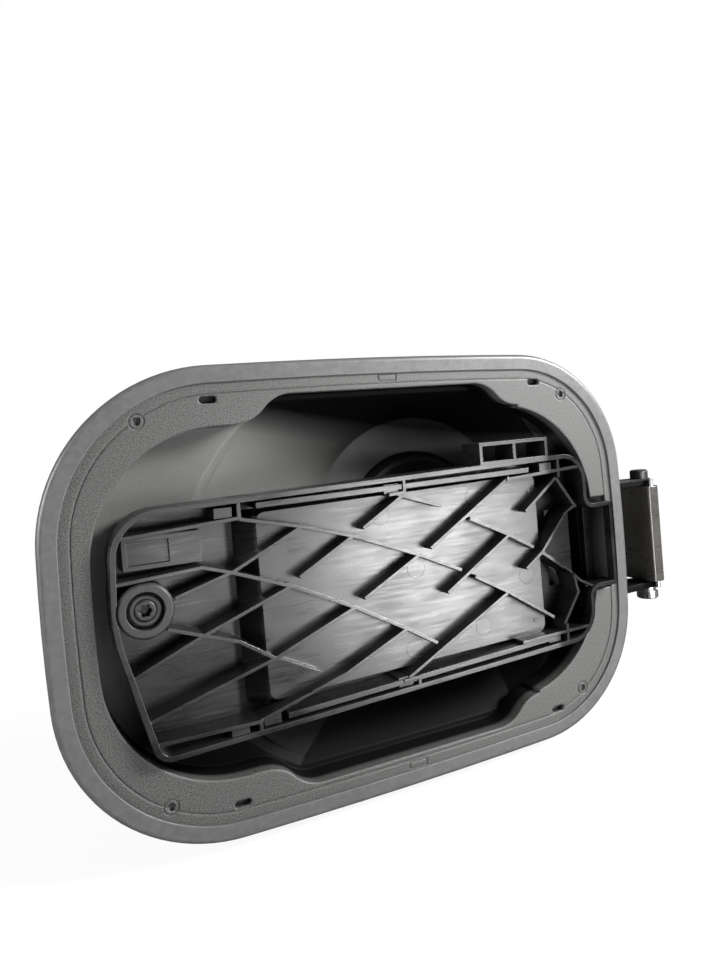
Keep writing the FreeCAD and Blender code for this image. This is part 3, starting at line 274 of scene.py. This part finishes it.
def matt_slopes_and_barrel_light(material):
    """Makes the nylon matt on the step and towards the gooseneck, and paints light on the barrel as a
    paler tone.
    """
    tree = material.node_tree
    shader = tree.nodes["Principled BSDF"]
    along, deep, _ = part_axes(tree)
    trough = between(tree, along, TROUGH_EDGE, TROUGH_END)
    step = combine(tree, "MULTIPLY", between(tree, along, STEP_START, STEP_END),
                   ramp(tree, deep, *STEP_DEPTH, 0.0, 1.0))
    share = combine(tree, "MAXIMUM", trough, step)
    sheen = ramp(tree, share, 0.0, 1.0, NYLON_SHEEN, MATT_SHEEN)
    tree.links.new(sheen, shader.inputs["Specular IOR Level"])
    # Painted light on the barrel, as a paler tone
    at_barrel = ramp(tree, along, *TROUGH_END, 0.0, 1.0)
    nylon_tone = shader.inputs["Base Color"].links[0].from_socket
    tree.links.new(blended(tree, at_barrel, nylon_tone, BARREL_PAINTED_LIGHT), shader.inputs["Base Color"])


def glossy_nylon(slot, dark, light, rough, edge):
    """Glass-filled nylon: semi-gloss, with cloudy streaks and fine scratches."""
    material, tree, shader = new_material(slot)
    cloud = noise(tree, *CLOUD)
    scratch = noise(tree, *SCRATCH)
    both = combine(tree, "MULTIPLY", cloud, scratch)
    tree.links.new(two_tone(tree, cloud, dark, light), shader.inputs["Base Color"])
    tree.links.new(ramp(tree, both, *SHEEN_RANGE, *rough), shader.inputs["Roughness"])
    relief = bump(tree, scratch, SCRATCH_DEPTH, SCRATCH_STRENGTH, soft_edges(tree, edge))
    tree.links.new(relief, shader.inputs["Normal"])
    matt_slopes_and_barrel_light(material)
    return material


def steel(slot):
    """Bright drawn steel with fine lines along its length."""
    material, tree, shader = new_material(slot)
    shader.inputs["Metallic"].default_value = 1.0
    lines = noise(tree, *DRAWN_LINES)
    tree.links.new(two_tone(tree, lines, *STEEL_TONES), shader.inputs["Base Color"])
    tree.links.new(ramp(tree, lines, *GRAIN_RANGE, *STEEL_ROUGH), shader.inputs["Roughness"])
    return material


# Finishes: dark tone, light tone, roughness range, grain in cycles per metre, depth and edge in metres
housing_plastic = moulded("housing_plastic", (0.022, 0.022, 0.021), (0.075, 0.074, 0.071),
                          (0.42, 0.58), 1700.0, 0.00016, 0.0013)
# Painted shade and painted light inside the pocket
paint_pocket_shade_and_light(housing_plastic)
seal_rubber = moulded("seal_rubber", (0.062, 0.062, 0.063), (0.074, 0.074, 0.076),
                      (0.36, 0.44), 500.0, 0.00002, 0.0006, 0.6)
boot_rubber = moulded("boot_rubber", (0.006, 0.006, 0.006), (0.010, 0.010, 0.010),
                      (0.45, 0.6), 600.0, 0.00003, 0.0008)
carrier_plastic = glossy_nylon("carrier_plastic", (0.0035, 0.0038, 0.0042), (0.008, 0.0085, 0.009),
                               (0.24, 0.40), 0.0003)
striker_plastic = moulded("striker_plastic", (0.018, 0.018, 0.018), (0.028, 0.028, 0.028),
                          (0.34, 0.44), 1200.0, 0.00004, 0.0005)
bush_plastic = moulded("bush_plastic", (0.03, 0.03, 0.03), (0.045, 0.045, 0.044),
                       (0.35, 0.45), 1000.0, 0.00003, 0.0002)
cap_plastic = moulded("cap_plastic", (0.012, 0.011, 0.010), (0.022, 0.020, 0.018),
                      (0.3, 0.42), 1000.0, 0.00003, 0.0004)
pin_steel = steel("pin_steel")

FINISHES = {
    "pocket_housing": housing_plastic,
    "perimeter_seal": seal_rubber,
    "neck_boot": boot_rubber,
    "door_carrier": carrier_plastic,
    "hinge_pin": pin_steel,
    "pin_cap": cap_plastic,
    "upper_bush": bush_plastic,
    "lower_bush": bush_plastic,
    "spring_rod": pin_steel,
    "striker_collar": striker_plastic,
    "striker_sleeve": striker_plastic,
    "striker_pin": cap_plastic,
}

for node_name, finish in FINISHES.items():
    piece = nodes[node_name]
    piece.data.materials.clear()
    piece.data.materials.append(finish)

# Small relief of the mouldings, in millimetres in the part's frame
MM = 0.001
SLOT_CENTRES = [(-78.0, 78.6), (78.0, 78.6), (-78.0, -78.6), (78.0, -78.6)]
# Painted shade: near-black plates set behind the four slots, standing in for the shade inside them
SLOT_BACK_LONG = 9.0
SLOT_BACK_HIGH = 4.6
SLOT_BACK_DEPTHS = (3.2, 4.0)
NOTCH_PAD = (117.4, 125.0, -10.0, 5.0)
NOTCH_PAD_RISE = 0.12
TROUGH_RIBS = [
    [(76.0, -4.0), (88.0, -12.6), (94.0, -18.4), (103.0, -23.0)],
    [(72.6, -1.5), (82.0, 8.4), (87.4, 14.7), (94.3, 18.6)],
    [(92.0, -24.0), (91.2, -18.0), (89.6, -14.0)],
]
TROUGH_RIB_DEPTHS = (-4.0, 8.0)
TROUGH_RIB_THICK = 1.2
HINGE_AT = (156.7, 15.0)
NECK_SKIN_RADII = (42.7, 43.4)
NECK_SKIN_TURN = (-14.0, 21.0)
NECK_SKIN_SPAN = (-23.0, 17.4)
EJECTOR_MARKS = [(7.5, 0.0), (40.5, 28.0), (40.5, -32.0), (67.0, -12.0), (-8.0, 25.5), (4.0, -35.0)]
EJECTOR_RADIUS = 4.4
CORE_MARKS = [(71.5, 27.0), (70.0, -34.5)]
CORE_RADIUS = 1.1
CIRCLE_POINTS = 40
ARC_STEPS = 12
FLOOR_FACE = 1.8
MARK_RISE = 0.06
CORE_RISE = 0.3


def solid_piece(name, near, far, body, finish):
    """A small piece between two rings of points in millimetres, riding a body."""
    count = len(near)
    faces = [tuple(range(count)), tuple(reversed(range(count, 2 * count)))]
    for index in range(count):
        following = (index + 1) % count
        faces.append((following, index, index + count, following + count))
    mesh = bpy.data.meshes.new(name)
    mesh.from_pydata([(x * MM, y * MM, z * MM) for x, y, z in near + far], [], faces)
    mesh.update()
    piece = bpy.data.objects.new(name, mesh)
    bpy.context.scene.collection.objects.link(piece)
    mesh.materials.append(finish)
    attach(piece, body)


def outline_piece(name, outline, depths, body, finish):
    """A flat piece with a front outline of (x, z) points, from one depth to another."""
    front, back = depths
    solid_piece(name, [(x, front, z) for x, z in outline], [(x, back, z) for x, z in outline],
                body, finish)


def plan_piece(name, outline, heights, body, finish):
    """A piece with a plan outline of (x, y) points, from one height to another."""
    low, high = heights
    solid_piece(name, [(x, y, low) for x, y in outline], [(x, y, high) for x, y in outline],
                body, finish)


def arc_band(centre, radii, turn):
    """Plan outline of a band about a centre, its angles measured from the latch direction."""
    start, end = turn
    angles = [math.radians(start + (end - start) * step / ARC_STEPS) for step in range(ARC_STEPS + 1)]
    ring = []
    for radius, order in zip(radii, (1, -1)):
        for angle in angles[::order]:
            ring.append((centre[0] - radius * math.cos(angle), centre[1] - radius * math.sin(angle)))
    return ring


def rectangle(left, right, low, high):
    """Corners of an upright rectangle, seen from the front."""
    return [(left, low), (right, low), (right, high), (left, high)]


def circle(centre, radius):
    """Points round a circle, seen from the front."""
    turns = [2.0 * math.pi * step / CIRCLE_POINTS for step in range(CIRCLE_POINTS)]
    return [(centre[0] + radius * math.cos(t), centre[1] + radius * math.sin(t)) for t in turns]


def ribbon(run, thick):
    """Front outline of a thin wall along a run of points."""
    steps = [(Vector(b) - Vector(a)).normalized() for a, b in zip(run, run[1:])]
    left = []
    right = []
    for point, before, after in zip(run, steps[:1] + steps, steps + steps[-1:]):
        ahead = (before + after).normalized()
        side = Vector((-ahead.y, ahead.x)) * (thick / 2.0)
        left.append(tuple(Vector(point) + side))
        right.append(tuple(Vector(point) - side))
    return right + left[::-1]


# Near-black plates behind the slots, as painted shade
for index, (x, z) in enumerate(SLOT_CENTRES):
    outline = rectangle(x - SLOT_BACK_LONG / 2, x + SLOT_BACK_LONG / 2,
                        z - SLOT_BACK_HIGH / 2, z + SLOT_BACK_HIGH / 2)
    outline_piece("slot_shade_plate_%d" % index, outline, SLOT_BACK_DEPTHS, "housing",
                  boot_rubber)
outline_piece("notch_pad", rectangle(*NOTCH_PAD), (-NOTCH_PAD_RISE, NOTCH_PAD_RISE), "housing",
              housing_plastic)
for index, run in enumerate(TROUGH_RIBS):
    outline_piece("trough_rib_%d" % index, ribbon(run, TROUGH_RIB_THICK), TROUGH_RIB_DEPTHS, "door",
                  carrier_plastic)
plan_piece("neck_skin", arc_band(HINGE_AT, NECK_SKIN_RADII, NECK_SKIN_TURN), NECK_SKIN_SPAN, "door",
           boot_rubber)
for kind, centres, radius, rise in (
        ("ejector_mark", EJECTOR_MARKS, EJECTOR_RADIUS, MARK_RISE),
        ("core_mark", CORE_MARKS, CORE_RADIUS, CORE_RISE)):
    for index, centre in enumerate(centres):
        depths = (FLOOR_FACE - rise, FLOOR_FACE + MARK_RISE)
        outline_piece("%s_%d" % (kind, index), circle(centre, radius), depths, "door",
                      carrier_plastic)


def pale_floor():
    """A white floor below the part that keeps a faint shadow."""
    height = rest_low.z - FLOOR_DROP
    bpy.ops.mesh.primitive_plane_add(size=FLOOR_SIZE, location=(0.0, 0.0, height))
    floor = bpy.context.object
    floor.name = "floor"
    material, tree, shader = new_material("floor_white")
    shader.inputs["Base Color"].default_value = (FLOOR_TONE, FLOOR_TONE, FLOOR_TONE, 1.0)
    shader.inputs["Roughness"].default_value = FLOOR_ROUGH
    glow = add(tree, "ShaderNodeEmission")
    seen = add(tree, "ShaderNodeLightPath")
    place = add(tree, "ShaderNodeTexCoord")
    reach = add(tree, "ShaderNodeVectorMath", operation="LENGTH")
    tree.links.new(place.outputs["Object"], reach.inputs[0])
    fade = ramp(tree, reach.outputs["Value"], *FLOOR_FADE, FLOOR_GLOW, 1.0)
    blend = add(tree, "ShaderNodeMixShader")
    tree.links.new(combine(tree, "MULTIPLY", seen.outputs["Is Camera Ray"], fade), blend.inputs["Fac"])
    tree.links.new(shader.outputs["BSDF"], blend.inputs[1])
    tree.links.new(glow.outputs["Emission"], blend.inputs[2])
    tree.links.new(blend.outputs["Shader"], tree.nodes["Material Output"].inputs["Surface"])
    floor.data.materials.append(material)
    floor.visible_glossy = False


def white_room():
    """White all round to the eye, and a soft light on the part that grows towards the hinge side."""
    world = bpy.data.worlds.new("room")
    bpy.context.scene.world = world
    world.use_nodes = True
    tree = world.node_tree
    light = tree.nodes["Background"]
    light.inputs["Color"].default_value = WHITE
    way = add(tree, "ShaderNodeTexCoord")
    parts = add(tree, "ShaderNodeSeparateXYZ")
    tree.links.new(way.outputs["Generated"], parts.inputs["Vector"])
    strength = ramp(tree, parts.outputs["X"], *ROOM_SPREAD, ROOM_DARK, ROOM_LIGHT)
    tree.links.new(strength, light.inputs["Strength"])
    white = add(tree, "ShaderNodeBackground", Strength=1.0)
    white.inputs["Color"].default_value = WHITE
    seen = add(tree, "ShaderNodeLightPath")
    blend = add(tree, "ShaderNodeMixShader")
    tree.links.new(seen.outputs["Is Camera Ray"], blend.inputs["Fac"])
    tree.links.new(light.outputs["Background"], blend.inputs[1])
    tree.links.new(white.outputs["Background"], blend.inputs[2])
    tree.links.new(blend.outputs["Shader"], tree.nodes["World Output"].inputs["Surface"])


def softbox(name, place, aim, size, power):
    """A square area light at a place, turned towards a point."""
    data = bpy.data.lights.new(name, "AREA")
    data.size = size
    data.energy = power
    lamp = bpy.data.objects.new(name, data)
    bpy.context.scene.collection.objects.link(lamp)
    lamp.location = place
    towards = Vector(aim) - Vector(place)
    lamp.rotation_euler = towards.to_track_quat("-Z", "Y").to_euler()
    return lamp


# Lights: place, point they are turned to and size in metres, and power in watts
CENTRE = (0.0, 0.0, 0.0)
MIDDLE_FLOOR = (0.03, 0.0, -0.005)
LATCH_FLOOR = (-0.09, 0.0, 0.01)
ROOM_LAMPS = {
    "light_over": ((0.20, -0.25, 0.85), CENTRE, 0.5, 1.2),
    "light_right": ((0.95, -0.62, 0.55), CENTRE, 0.35, 44.0),
    "light_left": ((-0.80, -0.20, 0.25), CENTRE, 0.4, 8.0),
}

# Lights that only show as a sheen on the glossy floor of the door
SHEEN_LAMPS = {
    "light_middle": ((0.205, -0.33, -0.062), MIDDLE_FLOOR, 0.18, 1.7),
    "light_latch": ((-0.02, -0.36, -0.045), LATCH_FLOOR, 0.10, 0.16),
}

pale_floor()
white_room()
for lamp_name, settings in ROOM_LAMPS.items():
    softbox(lamp_name, *settings)
for lamp_name, settings in SHEEN_LAMPS.items():
    softbox(lamp_name, *settings).visible_diffuse = False

camera_data = bpy.data.cameras.new("camera")
camera_data.sensor_fit = "VERTICAL"
camera_data.sensor_height = SENSOR_HEIGHT
camera_data.lens = LENS
camera_data.shift_y = -SHIFT_DOWN
camera_data.clip_start = NEAREST_SEEN
camera = bpy.data.objects.new("camera", camera_data)
bpy.context.scene.collection.objects.link(camera)
camera.location = CAMERA_AT
camera.rotation_euler = [math.radians(turn) for turn in CAMERA_TURN]
bpy.context.scene.camera = camera
bpy.context.scene.view_settings.view_transform = "Standard"
